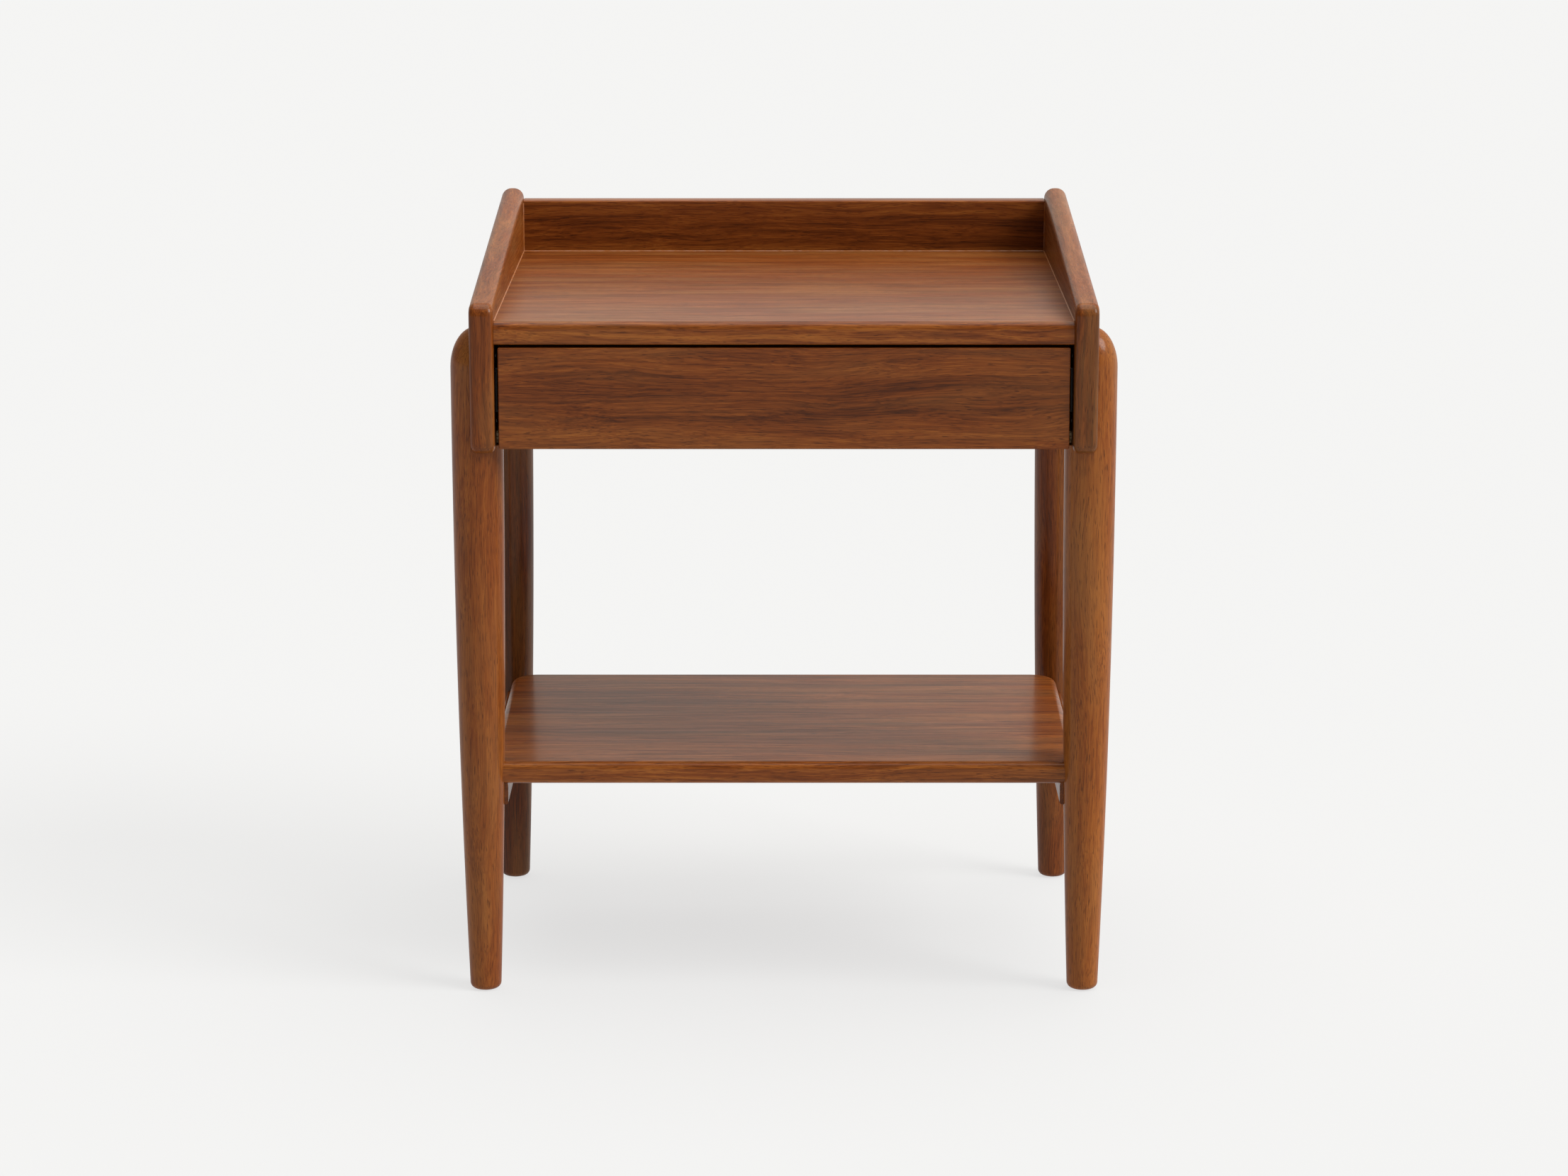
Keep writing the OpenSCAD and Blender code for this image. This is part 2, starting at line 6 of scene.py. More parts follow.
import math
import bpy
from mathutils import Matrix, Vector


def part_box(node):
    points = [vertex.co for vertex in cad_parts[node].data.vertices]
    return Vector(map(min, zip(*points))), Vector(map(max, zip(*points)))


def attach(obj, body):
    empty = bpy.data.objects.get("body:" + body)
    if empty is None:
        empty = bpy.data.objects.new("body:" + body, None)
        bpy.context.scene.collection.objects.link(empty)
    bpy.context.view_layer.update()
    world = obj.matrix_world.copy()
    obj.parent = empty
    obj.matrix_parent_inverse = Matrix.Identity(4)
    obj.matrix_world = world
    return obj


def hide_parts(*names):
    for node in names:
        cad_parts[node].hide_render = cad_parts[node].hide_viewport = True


bl_info = {
    "name": "Side table with drawer",
    "version": (1, 0, 0),
    "blender": (4, 5, 0),
    "location": "View3D > Sidebar > Side table",
    "description": "Models the side table's lacquered walnut pieces round its frame",
    "category": "Add Mesh",
}

import bmesh
import bpy
from mathutils import Vector

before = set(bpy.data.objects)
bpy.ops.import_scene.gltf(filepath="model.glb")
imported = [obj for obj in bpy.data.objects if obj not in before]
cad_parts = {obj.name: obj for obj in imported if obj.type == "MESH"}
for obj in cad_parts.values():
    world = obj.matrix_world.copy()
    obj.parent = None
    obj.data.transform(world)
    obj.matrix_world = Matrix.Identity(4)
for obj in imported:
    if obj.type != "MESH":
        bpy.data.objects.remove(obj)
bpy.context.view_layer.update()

MM = 0.001
SAME = 1e-5  # two lengths closer than this are one
X, Y, Z = 0, 1, 2
NOSE_HIGHLIGHT_SHARE = 0.4  # how far round its front edge a board gets its nose material, whose lighter tone is a painted highlight
TAPER_RINGS, DOME_RINGS = 24, 16  # rings of a leg's taper and of its dome
SHANK_R = 1.75 * MM  # radius of a wood screw

# The camera, in metres, degrees below the horizon and millimetres of lens and sensor
CAMERA_PLACE = (0, -3.4705, 1.053)
CAMERA_PITCH = 12.4
CAMERA_LENS, CAMERA_SENSOR = 97.65, 36


def linear(code):
    """An sRGB hex colour as linear red, green, blue and alpha."""
    parts = [int(code[i:i + 2], 16) / 255 for i in (1, 3, 5)]
    return [p / 12.92 if p <= 0.04045 else ((p + 0.055) / 1.055) ** 2.4 for p in parts] + [1.0]


# ---- Settings ----


def length_property(label, about, default_mm, low_mm=0.0, high_mm=100.0):
    """A length that shows in the sidebar, given here in millimetres."""
    return bpy.props.FloatProperty(
        name=label, description=about, default=default_mm * MM, min=low_mm * MM,
        max=high_mm * MM, precision=4, subtype="DISTANCE", unit="LENGTH")


def colour_property(label, about, code):
    """A colour that shows in the sidebar, given here as sRGB hex."""
    return bpy.props.FloatVectorProperty(
        name=label, description=about, default=linear(code), size=4, min=0.0, max=1.0,
        subtype="COLOR")


class TableSizes(bpy.types.PropertyGroup):
    """Radii of the edges that are worked by hand"""

    panel_corner: length_property("Panel corner", "Radius of a side panel's corners", 10)
    panel_edge: length_property("Panel edge", "Radius along a side panel's rims", 5)
    panel_peak: length_property("Panel peak", "The same radius at its highest corner", 8.5)
    panel_slope: length_property("Panel slope", "Rise of a panel's top edge, front to back", 41)
    top_nose: length_property("Top nose", "Radius of the tabletop's front upper edge", 6)
    gallery_edge: length_property("Gallery edge", "Radius of the back board's top edges", 2)
    joint_ease: length_property("Joint ease", "Tiny round where two boards meet", 0.3)
    bead: length_property("Lacquer bead", "Width of the beads in the tray's corners", 0.6)
    drawer_edge: length_property("Drawer edge", "Radius of the drawer face's edges", 1)
    shelf_edge: length_property("Shelf edge", "Radius along the shelf's rims", 6)
    shelf_back: length_property("Shelf back corner", "Radius of the shelf's back corners", 22)
    shelf_front: length_property("Shelf front corner", "Radius of the shelf's front corners", 7)
    rail_edge: length_property("Rail edge", "Radius of a shelf rail's edges", 2)
    foot: length_property("Foot", "Radius of a leg at the floor", 12.5)
    foot_edge: length_property("Foot edge", "Radius that rounds the foot", 5)
    dome: length_property("Dome", "Height of the dome that ends a leg", 32)
    belly: length_property("Belly", "Straight run of a leg below its dome", 8)
    taper: bpy.props.FloatProperty(
        name="Taper", description="How fast a leg swells: 1 is a straight cone",
        default=2.3, min=1.0, max=4.0)


class TableColours(bpy.types.PropertyGroup):
    """Colours of the finishes"""

    walnut_dark: colour_property("Walnut, dark", "Latewood lines and pores", "#351707")
    walnut_deep: colour_property("Walnut, deep", "Between the dark and the common tone", "#58290a")
    walnut_mid: colour_property("Walnut, mid", "The wood's most common tone", "#763b12")
    walnut_light: colour_property("Walnut, light", "Earlywood", "#955620")
    walnut_ochre: colour_property("Walnut, ochre", "Yellower patches of the board", "#9a6d3c")
    beech: colour_property("Drawer wood", "Pale hardwood of the drawer box", "#d8b78b")
    beech_dark: colour_property("Drawer wood, flecks", "Its rays and growth lines", "#bd9265")
    ply: colour_property("Plywood", "Birch face veneer", "#d9c19a")
    ply_dark: colour_property("Plywood, layers", "Glue lines between the veneers", "#8e6a45")
    zinc: colour_property("Zinc", "Zinc-plated steel", "#c3c7cb")
    # The slides' black also paints the shade seen through the drawer's side gaps
    black: colour_property("Black", "Black dip coat of the slides, also painted shade in the side gaps", "#17181a")
    felt: colour_property("Felt", "Foot pads", "#2a2827")
    # The bead's pale colour is a painted highlight along the tray's joints
    bead: colour_property("Lacquer bead", "Pale bead in the tray's corners, a painted highlight", "#9c6a4c")
    floor: colour_property("Floor", "The glow of the studio's floor", "#f5f5f5")
    floor_paint: colour_property("Floor paint", "What the floor reflects", "#666665")
    walls: colour_property("Walls", "The studio's soft surroundings", "#fffbf2")


# ---- Modelling ----


def only(piece):
    """Makes the piece the one selected and active object."""
    bpy.ops.object.select_all(action="DESELECT")
    piece.select_set(True)
    bpy.context.view_layer.objects.active = piece


def block(name, low, high):
    """A box between two corners, with its place in its mesh."""
    low, high = Vector(low), Vector(high)
    bpy.ops.object.select_all(action="DESELECT")
    bpy.ops.mesh.primitive_cube_add(size=1, location=(low + high) / 2, scale=high - low)
    bpy.ops.object.transform_apply(location=True, rotation=True, scale=True)
    piece = bpy.context.object
    piece.name = piece.data.name = name
    return piece


def pick(piece, kind, keep):
    """Opens the piece in edit mode with only what keep() accepts selected."""
    only(piece)
    bpy.ops.object.mode_set(mode="EDIT")
    bpy.ops.mesh.select_mode(type=kind)
    bpy.ops.mesh.select_all(action="DESELECT")
    mesh = bmesh.from_edit_mesh(piece.data)
    for item in {"VERT": mesh.verts, "EDGE": mesh.edges, "FACE": mesh.faces}[kind]:
        if keep(item):
            item.select_set(True)
    mesh.select_flush_mode()
    bmesh.update_edit_mesh(piece.data)


def close():
    """Leaves edit mode."""
    bpy.ops.object.mode_set(mode="OBJECT")


def along(edge, axis):
    """Whether an edge runs parallel to an axis."""
    run = edge.verts[1].co - edge.verts[0].co
    return all(abs(run[i]) < SAME for i in (X, Y, Z) if i != axis)


def lies(edge, axis, *values):
    """Whether an edge lies in one of the planes that are square to an axis."""
    return any(all(abs(v.co[axis] - value) < SAME for v in edge.verts) for value in values)


def round_edges(piece, radius, segments, keep):
    """Rounds the edges that keep() accepts."""
    pick(piece, "EDGE", keep)
    bpy.ops.mesh.bevel(offset_type="OFFSET", offset=radius, segments=segments, affect="EDGES")
    close()


def twin(piece, name, move=(0, 0, 0), mirrored=False):
    """A copy with its own mesh, moved, or mirrored from right to left."""
    only(piece)
    bpy.ops.object.duplicate(linked=False)
    copy = bpy.context.object
    copy.name = copy.data.name = name
    pick(copy, "VERT", lambda vert: True)
    bpy.ops.transform.translate(value=move)
    if mirrored:
        bpy.ops.transform.resize(value=(-1, 1, 1), center_override=(0, 0, 0))
        bpy.ops.mesh.normals_make_consistent(inside=False)
    close()
    return copy


def turned(name, profile, centre, steps, axis=Z):
    """A piece turned about a line through the centre from (radius, height) points."""
    points = []
    for radius, height in profile:
        point = Vector(centre)
        point[(axis + 1) % 3] += radius
        point[axis] += height
        points.append(point)
    bpy.ops.object.select_all(action="DESELECT")
    bpy.ops.mesh.primitive_plane_add(size=MM)
    piece = bpy.context.object
    piece.name = piece.data.name = name
    pick(piece, "VERT", lambda vert: True)
    bpy.ops.mesh.merge(type="CENTER")
    bpy.ops.transform.translate(value=points[0])
    for start, end in zip(points, points[1:]):
        bpy.ops.mesh.extrude_region_move(TRANSFORM_OT_translate={"value": end - start})
    bpy.ops.mesh.select_all(action="SELECT")
    bpy.ops.mesh.spin(steps=steps, angle=math.tau, center=centre,
                      axis=[float(i == axis) for i in (X, Y, Z)])
    bpy.ops.mesh.select_all(action="SELECT")
    bpy.ops.mesh.remove_doubles(threshold=SAME)
    bpy.ops.mesh.normals_make_consistent(inside=False)
    close()
    return piece


def arc(centre, radius, start, steps):
    """The points of a quarter circle, anticlockwise from the start angle in degrees."""
    angles = [math.radians(start + 90 * i / steps) for i in range(steps + 1)]
    return [(centre[0] + radius * math.cos(a), centre[1] + radius * math.sin(a)) for a in angles]


def rim_disc(radius, edge, low, high, centre):
    """A disc along X with rounded rims, for one corner of a board."""
    profile = ([(0, low)] + arc((radius - edge, low + edge), edge, -90, 8)
               + arc((radius - edge, high - edge), edge, 0, 8) + [(0, high)])
    return turned("corner", profile, centre, 64, X)


def cut(piece, cutter):
    """Takes the cutter's shape out of the piece and removes the cutter."""
    only(piece)
    tool = piece.modifiers.new("Cut", "BOOLEAN")
    tool.operation, tool.solver, tool.object = "DIFFERENCE", "EXACT", cutter
    bpy.ops.object.modifier_apply(modifier=tool.name)
    bpy.data.objects.remove(cutter)


def joined(pieces, name):
    """Several pieces as one object."""
    only(pieces[0])
    for piece in pieces:
        piece.select_set(True)
    bpy.ops.object.join()
    whole = bpy.context.object
    whole.name = whole.data.name = name
    return whole


def settle(piece, body, slot, materials, *stands_for):
    """Shades the piece, gives it its finish and sets it in the frame."""
    pick(piece, "VERT", lambda vert: True)
    bpy.ops.mesh.remove_doubles(threshold=SAME / 10)
    close()
    bpy.ops.object.shade_smooth_by_angle(angle=math.radians(35))
    shading = piece.modifiers.new("Even shading", "WEIGHTED_NORMAL")
    shading.keep_sharp = True
    bpy.ops.object.modifier_apply(modifier=shading.name)
    piece.data.materials.clear()
    for material in materials:
        piece.data.materials.append(material)
    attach(piece, body)
    if stands_for:
        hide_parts(*stands_for)


def show_end(piece, limit):
    """Gives the faces in front of the limit the piece's second material."""
    for face in piece.data.polygons:
        face.material_index = int(face.center.y < limit)


def islands(node):
    """The boxes of the separate solids in a CAD node, as (low, high) pairs."""
    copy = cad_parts[node].copy()
    copy.data = copy.data.copy()
    copy.parent = None
    bpy.context.scene.collection.objects.link(copy)
    pick(copy, "VERT", lambda vert: True)
    bpy.ops.mesh.remove_doubles(threshold=SAME)
    bpy.ops.mesh.separate(type="LOOSE")
    close()
    boxes = []
    for part in list(bpy.context.selected_objects):
        points = [v.co for v in part.data.vertices]
        boxes.append((Vector(min(p[i] for p in points) for i in (X, Y, Z)),
                      Vector(max(p[i] for p in points) for i in (X, Y, Z))))
        bpy.data.objects.remove(part)
    return boxes


# ---- Finishes ----


def add_node(tree, kind, settings=None, inputs=None):
    """Adds a node: its settings, then its inputs, each a value, a node or (node, output)."""
    node = tree.nodes.new(kind)
    for key, value in (settings or {}).items():
        setattr(node, key, value)
    for key, value in (inputs or {}).items():
        socket = next((s for s in node.inputs if s.identifier == key), None) or node.inputs[key]
        if isinstance(value, bpy.types.Node):
            value = (value, value.outputs[0].identifier)
        if isinstance(value, tuple) and isinstance(value[0], bpy.types.Node):
            source = next(o for o in value[0].outputs if value[1] in (o.identifier, o.name))
            tree.links.new(source, socket)
        else:
            socket.default_value = value
    return node


def new_material(name):
    """An empty node material, and its tree."""
    material = bpy.data.materials.new(name)
    material.use_nodes = True
    material.node_tree.nodes.clear()
    return material, material.node_tree


def set_ramp(node, stops):
    """Fills a colour ramp from (position, colour) stops."""
    ramp = node.color_ramp
    while len(ramp.elements) < len(stops):
        ramp.elements.new(1.0)
    for element, (position, colour) in zip(ramp.elements, stops):
        element.position, element.color = position, colour
    return node


def speckle(tree, size_mm, detail, **inputs):
    """Noise with no direction, with patches of about this size."""
    return add_node(tree, "ShaderNodeTexNoise", None, {
        "Vector": (add_node(tree, "ShaderNodeTexCoord"), "Object"),
        "Scale": 1 / (size_mm * MM), "Detail": detail, **inputs})


def surface(tree, inputs):
    """Ends a material with the shader that has these inputs."""
    shader = add_node(tree, "ShaderNodeBsdfPrincipled", None, inputs)
    add_node(tree, "ShaderNodeOutputMaterial", None, {"Surface": shader})


def per_axis(grain, lengthwise, crosswise):
    """A vector with one value along the grain's axis and another across it."""
    return [lengthwise if axis == grain else crosswise for axis in (X, Y, Z)]


def streaks(tree, place, grain, long_mm, wide_mm, detail=2.0):
    """Noise drawn out along the grain: streaks of about this length and width."""
    scaled = add_node(tree, "ShaderNodeVectorMath", {"operation": "MULTIPLY"}, {
        0: place, 1: per_axis(grain, 1 / (long_mm * MM), 1 / (wide_mm * MM))})
    return add_node(tree, "ShaderNodeTexNoise", None, {
        "Vector": scaled, "Scale": 1.0, "Detail": detail, "Roughness": 0.55})


def weighted(tree, base, parts):
    """base plus each (node, weight) part's distance from its middle, times its weight."""
    total = base
    for part, weight in parts:
        spread = add_node(tree, "ShaderNodeMath", {"operation": "SUBTRACT"}, {0: part, 1: 0.5})
        total = add_node(tree, "ShaderNodeMath", {"operation": "MULTIPLY_ADD"}, {
            0: spread, 1: weight, 2: total})
    return total


def walnut(name, grain, seed, tone=0.0, depth=1.0, ochre=0.1, wander_mm=7.0):
    """Flat-cut walnut under a thin satin lacquer.

    The eye gets red-brown fibres, darker latewood lines that wander along the
    board, short open pores, yellower patches, and a soft sheen that turns
    greyish where it mirrors bright walls at a low angle. Depth scales the broad
    figure, tone and ochre shift the board's colour.
    """
    colours = bpy.context.scene.table_colours
    material, tree = new_material(name)
    place = add_node(tree, "ShaderNodeMapping", None, {
        "Vector": (add_node(tree, "ShaderNodeTexCoord"), "Object"),
        "Location": [0.37 * seed, 0.61 * seed, 0.83 * seed]})
    wander = streaks(tree, place, grain, 260, 60)
    centred = add_node(tree, "ShaderNodeVectorMath", {"operation": "SUBTRACT"}, {
        0: (wander, "Color"), 1: [0.5, 0.5, 0.5]})
    bent = add_node(tree, "ShaderNodeVectorMath", {"operation": "MULTIPLY_ADD"}, {
        0: centred, 1: per_axis(grain, 0, 4 * wander_mm * MM), 2: place})

    # Growth rings 7 mm apart, cut from a trunk whose heart lies outside the board
    ring_mm = 7.0
    rings = add_node(tree, "ShaderNodeTexWave", {
        "wave_type": "RINGS", "rings_direction": "XYZ"[grain], "wave_profile": "SAW"}, {
        "Vector": bent, "Scale": math.tau / 20 / (ring_mm * MM), "Distortion": 3.0,
        "Detail": 2.0, "Detail Scale": 0.6})
    broad = streaks(tree, bent, grain, 420, 16)
    middle = streaks(tree, bent, grain, 140, 2.6, 3.0)
    # Real fibres are 0.1 mm wide: drawn at 0.9 and 0.5 mm, so that they show
    fibres = streaks(tree, bent, grain, 40, 0.9)
    hairs = streaks(tree, bent, grain, 20, 0.5)
    pore_noise = streaks(tree, bent, grain, 9, 0.55, 0.0)
    pores = add_node(tree, "ShaderNodeMapRange", None, {
        "Value": pore_noise, "From Min": 0.27, "From Max": 0.36, "To Min": 1.0, "To Max": 0.0})

    figure = weighted(tree, 0.5 + tone, [
        (rings, -0.08 * depth), (broad, 0.7 * depth), (middle, 0.7 * depth), (fibres, 0.6),
        (hairs, 0.5)])
    tones = set_ramp(add_node(tree, "ShaderNodeValToRGB", None, {"Fac": figure}), [
        (0.08, colours.walnut_dark), (0.33, colours.walnut_deep),
        (0.58, colours.walnut_mid), (0.92, colours.walnut_light)])
    patches = streaks(tree, bent, grain, 150, 22)
    patch_mask = add_node(tree, "ShaderNodeMapRange", None, {
        "Value": patches, "From Min": 0.42, "From Max": 0.66, "To Min": 0.0, "To Max": ochre})
    warmed = add_node(tree, "ShaderNodeMix", {"data_type": "RGBA"}, {
        "Factor_Float": patch_mask, "A_Color": tones, "B_Color": colours.walnut_ochre})
    pored = add_node(tree, "ShaderNodeMix", {"data_type": "RGBA"}, {
        "Factor_Float": add_node(tree, "ShaderNodeMath", {"operation": "MULTIPLY"}, {
            0: pores, 1: 0.55}),
        "A_Color": (warmed, "Result_Color"), "B_Color": colours.walnut_dark})

    relief = weighted(tree, 0.5, [(fibres, 0.5), (pores, -0.6)])
    bump = add_node(tree, "ShaderNodeBump", None, {
        "Height": relief, "Strength": 0.12, "Distance": 0.15 * MM})
    roughness = add_node(tree, "ShaderNodeMapRange", None, {
        "Value": middle, "From Min": 0.3, "From Max": 0.7, "To Min": 0.5, "To Max": 0.4})
    surface(tree, {
        "Base Color": (pored, "Result_Color"), "Roughness": roughness, "Normal": bump,
        "IOR": 1.5, "Specular IOR Level": 0.06,
        "Coat Weight": 0.26, "Coat Roughness": 0.17, "Coat IOR": 1.5})
    return material


def pale_hardwood(name, grain, seed):
    """Beech, planed and oiled: pink-yellow, with short fine flecks and little figure."""
    colours = bpy.context.scene.table_colours
    material, tree = new_material(name)
    place = add_node(tree, "ShaderNodeMapping", None, {
        "Vector": (add_node(tree, "ShaderNodeTexCoord"), "Object"),
        "Location": [0.41 * seed, 0.29 * seed, 0.53 * seed]})
    broad = streaks(tree, place, grain, 300, 14)
    fibres = streaks(tree, place, grain, 22, 0.8)
    flecks = add_node(tree, "ShaderNodeMapRange", None, {
        "Value": streaks(tree, place, grain, 4, 0.7, 0.0),
        "From Min": 0.28, "From Max": 0.4, "To Min": 0.8, "To Max": 0.0})
    figure = weighted(tree, 0.45, [(broad, 1.4), (fibres, 0.9)])
    tones = add_node(tree, "ShaderNodeMix", {"data_type": "RGBA"}, {
        "Factor_Float": figure, "A_Color": colours.beech, "B_Color": colours.beech_dark})
    flecked = add_node(tree, "ShaderNodeMix", {"data_type": "RGBA"}, {
        "Factor_Float": add_node(tree, "ShaderNodeMath", {"operation": "MULTIPLY"}, {
            0: flecks, 1: 0.6}),
        "A_Color": (tones, "Result_Color"), "B_Color": colours.beech_dark})
    bump = add_node(tree, "ShaderNodeBump", None, {
        "Height": fibres, "Strength": 0.2, "Distance": 0.1 * MM})
    surface(tree, {
        "Base Color": (flecked, "Result_Color"), "Roughness": 0.5, "Normal": bump, "IOR": 1.5,
        "Specular IOR Level": 0.3})
    return material


def plywood(name):
    """Birch plywood: pale rotary-cut veneer, with darker layers on its edges."""
    colours = bpy.context.scene.table_colours
    material, tree = new_material(name)
    source = add_node(tree, "ShaderNodeTexCoord")
    place = (source, "Object")
    broad = streaks(tree, place, X, 220, 40)
    fibres = streaks(tree, place, X, 30, 1.0)
    figure = weighted(tree, 0.3, [(broad, 1.6), (fibres, 0.8)])
    face = add_node(tree, "ShaderNodeMix", {"data_type": "RGBA"}, {
        "Factor_Float": figure, "A_Color": colours.ply, "B_Color": colours.beech})
    # Layers 1.5 mm thick, seen only where a face stands upright
    height = (add_node(tree, "ShaderNodeSeparateXYZ", None, {"Vector": place}), "Z")
    layers = add_node(tree, "ShaderNodeMath", {"operation": "PINGPONG"}, {
        0: height, 1: 1.5 * MM})
    glue = add_node(tree, "ShaderNodeMapRange", None, {
        "Value": layers, "From Min": 0.2 * MM, "From Max": 0.5 * MM, "To Min": 1.0,
        "To Max": 0.0})
    facing = (add_node(tree, "ShaderNodeSeparateXYZ", None, {"Vector": (source, "Normal")}), "Z")
    upright = add_node(tree, "ShaderNodeMath", {"operation": "LESS_THAN"}, {
        0: add_node(tree, "ShaderNodeMath", {"operation": "ABSOLUTE"}, {0: facing}), 1: 0.5})
    edge = add_node(tree, "ShaderNodeMath", {"operation": "MULTIPLY"}, {0: glue, 1: upright})
    whole = add_node(tree, "ShaderNodeMix", {"data_type": "RGBA"}, {
        "Factor_Float": edge, "A_Color": (face, "Result_Color"), "B_Color": colours.ply_dark})
    surface(tree, {
        "Base Color": (whole, "Result_Color"), "Roughness": 0.6, "IOR": 1.5,
        "Specular IOR Level": 0.25})
    return material


def zinc_steel(name, roughness):
    """Sheet steel, zinc-plated and passivated: cool grey with faint cloudy spangle."""
    colours = bpy.context.scene.table_colours
    material, tree = new_material(name)
    clouds = speckle(tree, 6, 3.0)
    tint = set_ramp(add_node(tree, "ShaderNodeValToRGB", None, {"Fac": clouds}), [
        (0.3, [0.8 * c for c in colours.zinc[:3]] + [1.0]), (0.7, colours.zinc)])
    gloss = add_node(tree, "ShaderNodeMapRange", None, {
        "Value": clouds, "From Min": 0.3, "From Max": 0.7,
        "To Min": roughness + 0.08, "To Max": roughness - 0.05})
    surface(tree, {
        "Base Color": tint, "Metallic": 1.0, "Roughness": gloss})
    return material


def black_steel(name):
    """Sheet steel with a thin black dip coat: dull, with a low sheen and fine orange peel."""
    colours = bpy.context.scene.table_colours
    material, tree = new_material(name)
    peel = speckle(tree, 1.2, 2.0)
    tint = set_ramp(add_node(tree, "ShaderNodeValToRGB", None, {"Fac": peel}), [
        (0.3, [0.7 * c for c in colours.black[:3]] + [1.0]), (0.7, colours.black)])
    bump = add_node(tree, "ShaderNodeBump", None, {
        "Height": peel, "Strength": 0.15, "Distance": 0.05 * MM})
    surface(tree, {
        "Base Color": tint, "Roughness": 0.45, "Normal": bump, "IOR": 1.5})
    return material


def felt(name):
    """Pressed wool felt: matt, with matted fibres and a soft fuzz at its edge."""
    colours = bpy.context.scene.table_colours
    material, tree = new_material(name)
    # Fibre clumps are about 0.4 mm
    clumps = speckle(tree, 0.4, 4.0, Roughness=0.7)
    tint = set_ramp(add_node(tree, "ShaderNodeValToRGB", None, {"Fac": clumps}), [
        (0.3, [0.5 * c for c in colours.felt[:3]] + [1.0]), (0.7, colours.felt)])
    bump = add_node(tree, "ShaderNodeBump", None, {
        "Height": clumps, "Strength": 0.6, "Distance": 0.3 * MM})
    surface(tree, {
        "Base Color": tint, "Roughness": 0.95, "Normal": bump, "Sheen Weight": 0.3})
    return material


def lacquer(name):
    """Satin lacquer in the tray's corners, paler than the wood: the paleness is a painted highlight
    along the joints.
    """
    colours = bpy.context.scene.table_colours
    material, tree = new_material(name)
    # Runs 6 mm long, paler and darker along the painted highlight
    runs = speckle(tree, 6, 1.0)
    tint = set_ramp(add_node(tree, "ShaderNodeValToRGB", None, {"Fac": runs}), [
        (0.35, colours.walnut_light), (0.6, colours.bead)])
    surface(tree, {
        "Base Color": tint, "Roughness": 0.42, "IOR": 1.5, "Specular IOR Level": 0.25})
    return material


# ---- Pieces ----


class TABLE_OT_side_panels(bpy.types.Operator):
    """Two boards with rounded rims, lower at the front, that carry the case"""

    bl_idname = "table.side_panels"
    bl_label = "Side panels"

    def execute(self, context):
        sizes = context.scene.table_sizes
        low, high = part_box("right_side_panel")
        radius, slope = sizes.panel_corner, sizes.panel_slope
        front, back = low.y + radius, high.y - radius
        drop = slope * (back - front) / (high.y - low.y)
        corners = [rim_disc(radius, edge, low.x, high.x, (0, y, z)) for y, z, edge in (
            (front, low.z + radius, sizes.panel_edge), (back, low.z + radius, sizes.panel_edge),
            (back, high.z - radius, sizes.panel_peak),
            (front, high.z - radius - drop, sizes.panel_edge))]
        right = joined(corners, "side_panel_right")
        pick(right, "VERT", lambda vert: True)
        bpy.ops.mesh.convex_hull(join_triangles=False)
        bpy.ops.mesh.dissolve_limited(angle_limit=math.radians(0.3))
        bpy.ops.mesh.normals_make_consistent(inside=False)
        close()
        bores = []
        for bolt_low, bolt_high in islands("leg_bolts"):
            if bolt_low.x > 0:
                centre = (bolt_low + bolt_high) / 2
                radius = (bolt_high.z - bolt_low.z) / 2
                bpy.ops.mesh.primitive_cylinder_add(
                    vertices=48, radius=radius, depth=5 * MM,
                    location=(low.x, centre.y, centre.z), rotation=(0, math.pi / 2, 0))
                bores.append(context.object)
        cut(right, joined(bores, "bores"))
        left = twin(right, "side_panel_left", mirrored=True)
        # The right panel's front is toned darker than the left's: painted shade
        for piece, side, seed, front_tone_and_shade in (
                (left, "left", 3, -0.02), (right, "right", 5, -0.1)):
            length_wood = walnut(f"Lacquered walnut, {side} panel", Y, seed, tone=0.05, depth=0.7,
                                 ochre=0.25)
            end_wood = walnut(f"Lacquered walnut, {side} panel front", Z, seed + 10,
                              tone=front_tone_and_shade, depth=0.8, ochre=0.3)
            settle(piece, "table", "walnut_case", [length_wood, end_wood], f"{side}_side_panel")
            show_end(piece, low.y + sizes.panel_edge)
        return {"FINISHED"}


class TABLE_OT_tabletop(bpy.types.Operator):
    """The tray's flat board, with a rounded nose"""

    bl_idname = "table.tabletop"
    bl_label = "Tabletop"

    def execute(self, context):
        sizes = context.scene.table_sizes
        low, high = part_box("tabletop")
        piece = block("tabletop_board", low, high)
        round_edges(piece, sizes.top_nose, 8, lambda e: lies(e, Y, low.y) and lies(e, Z, high.z))
        round_edges(piece, sizes.top_nose / 2, 4,
                    lambda e: lies(e, Y, low.y) and lies(e, Z, low.z))
        round_edges(piece, sizes.joint_ease, 3, lambda e: lies(e, X, low.x, high.x)
                    or (lies(e, Y, high.y) and lies(e, Z, high.z)))
        wood = walnut("Lacquered walnut, tabletop", X, 1, tone=0.01, depth=0.85, ochre=0.25)
        # The nose's lighter tone is a painted highlight on the rounded front edge
        nose = walnut("Lacquered walnut, tabletop nose, painted highlight", X, 31, tone=0.09, depth=1.6)
        settle(piece, "table", "walnut_case", [wood, nose], "tabletop")
        show_end(piece, low.y + NOSE_HIGHLIGHT_SHARE * sizes.top_nose)
        return {"FINISHED"}


